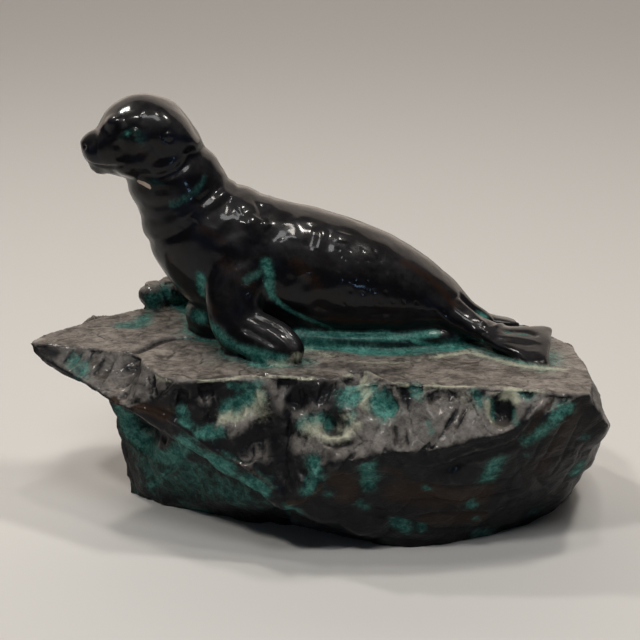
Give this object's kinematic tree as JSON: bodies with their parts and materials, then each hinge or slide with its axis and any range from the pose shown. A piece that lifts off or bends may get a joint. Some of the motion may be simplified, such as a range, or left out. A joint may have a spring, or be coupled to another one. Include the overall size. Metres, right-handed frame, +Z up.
{
  "type": "seal figurine",
  "caption": "Seal resting with raised head on an overhanging block of rock, cast in one piece, in dark glossy glazed ceramic with turquoise pooled in the hollows.",
  "frame": {"origin": "on the ground, under the middle of the casting's bounding box", "axes": "+Z up; the seal's head and the rock's overhang point to -X, its tail to +X; its left side faces -Y"},
  "size_m": [0.2546, 0.1268, 0.1841],
  "materials": {
    "dark_glaze": "near-black gloss on the seal, worn brown-grey on the flat of the rock, turquoise and cream where the glaze pooled"
  },
  "bodies": {
    "root": {"seal_on_rock": "dark_glaze"}
  },
  "joints": []
}
